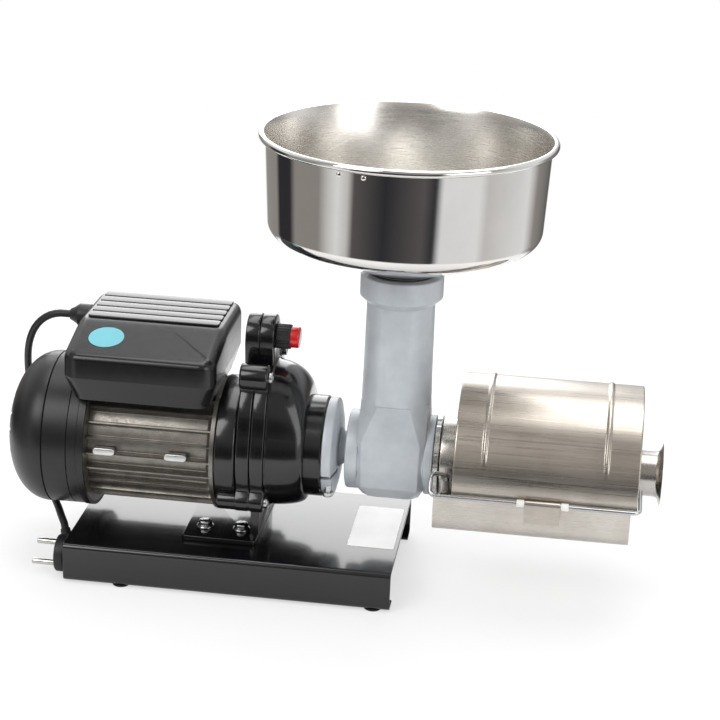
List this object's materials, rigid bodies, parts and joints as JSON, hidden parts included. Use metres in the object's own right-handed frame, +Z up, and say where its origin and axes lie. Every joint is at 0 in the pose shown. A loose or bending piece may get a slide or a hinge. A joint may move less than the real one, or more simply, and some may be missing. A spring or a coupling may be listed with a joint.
{
  "type": "electric tomato strainer",
  "caption": "Electric tomato strainer: finned motor with gearbox, cast strainer head, steel hopper, conical sieve under a splash guard, drip tray, channel base.",
  "frame": {"origin": "on the floor under the middle of the machine's bounding box, cord and plug left out", "axes": "+X along the output shaft from motor to waste outlet, +Y to the back, +Z up"},
  "size_m": [0.5359, 0.23, 0.3688],
  "materials": {
    "black_enamel": "gloss",
    "black_plastic": "satin",
    "dark_plastic": "satin",
    "grey_plastic": "satin",
    "red_plastic": "gloss",
    "rubber": "matte",
    "zinc_plate": "satin",
    "aluminium": "satin",
    "silver_paint": "satin",
    "stainless": "brushed",
    "steel": "machined",
    "winding_copper": "enamelled wire",
    "bronze": "machined",
    "white_plastic": "satin",
    "nickel": "bright"
  },
  "bodies": {
    "frame": {"base_bolt_1": "zinc_plate", "base_bolt_2": "zinc_plate", "base_bolt_3": "zinc_plate", "base_bolt_4": "zinc_plate", "base_channel": "black_enamel", "cable_gland": "black_plastic", "capacitor": "aluminium", "case_screw_1": "zinc_plate", "case_screw_2": "zinc_plate", "case_screw_3": "zinc_plate", "case_screw_4": "zinc_plate", "clamp_ring": "silver_paint", "clamp_screw": "zinc_plate", "fan_cover": "black_plastic", "front_bearing": "steel", "front_shield": "black_enamel", "gearbox_case": "black_enamel", "gearbox_cover": "black_enamel", "motor_pedestal": "black_enamel", "output_bearing": "steel", "plug_body": "black_plastic", "plug_pin_1": "nickel", "plug_pin_2": "nickel", "power_cord": "rubber", "rear_bearing": "steel", "rear_shield": "aluminium", "rubber_foot_1": "rubber", "rubber_foot_2": "rubber", "rubber_foot_3": "rubber", "rubber_foot_4": "rubber", "shaft_bush": "bronze", "sieve": "stainless", "stator_core": "steel", "stator_housing": "aluminium", "strainer_body": "silver_paint", "switch_body": "dark_plastic", "switch_collar": "dark_plastic", "terminal_box_base": "black_plastic", "terminal_box_lid": "black_plastic", "winding_front": "winding_copper", "winding_rear": "winding_copper"},
    "rotor": {"motor_shaft": "steel", "rotor_core": "steel", "cooling_fan": "grey_plastic"},
    "intermediate": {"intermediate_wheel": "steel", "intermediate_shaft": "steel"},
    "output": {"output_gear": "steel", "output_shaft": "steel", "auger": "white_plastic"},
    "button": {"switch_button": "red_plastic"},
    "ring": {"locking_ring": "aluminium"},
    "hopper": {"hopper": "stainless"},
    "guard": {"splash_guard": "stainless", "wire_clip": "zinc_plate", "finger_tab": "stainless", "wire_bush_1": "white_plastic", "wire_bush_2": "white_plastic"},
    "tray": {"drip_tray": "stainless"}
  },
  "joints": [
    {"name": "motor_spin", "type": "hinge", "parent": "frame", "child": "rotor", "pos_m": [-0.14, 0, 0.1045], "axis": [1, 0, 0], "continuous": true},
    {"name": "intermediate_spin", "type": "hinge", "parent": "frame", "child": "intermediate", "pos_m": [-0.06, 0, 0.137], "axis": [1, 0, 0], "continuous": true},
    {"name": "output_spin", "type": "hinge", "parent": "frame", "child": "output", "pos_m": [-0.05, 0, 0.107], "axis": [1, 0, 0], "continuous": true},
    {"name": "button_press", "type": "slide", "parent": "frame", "child": "button", "axis": [-1, 0, 0], "range_m": [0, 0.003], "stiffness_N_per_m": 500, "springref_m": -0.001},
    {"name": "ring_turn", "type": "hinge", "parent": "frame", "child": "ring", "pos_m": [0.0875, 0, 0.107], "axis": [1, 0, 0], "range_deg": [0, 90]},
    {"name": "hopper_lift", "type": "slide", "parent": "frame", "child": "hopper", "axis": [0, 0, 1], "range_m": [0, 0.06]},
    {"name": "guard_lift", "type": "slide", "parent": "frame", "child": "guard", "axis": [0, 0, 1], "range_m": [0, 0.06]},
    {"name": "tray_drop", "type": "slide", "parent": "frame", "child": "tray", "axis": [0, 0, -1], "range_m": [0, 0.035]}
  ],
  "couplings": [
    {"joint": "intermediate_spin", "follows": "motor_spin", "ratio": -0.2381},
    {"joint": "output_spin", "follows": "motor_spin", "ratio": 0.062657}
  ]
}
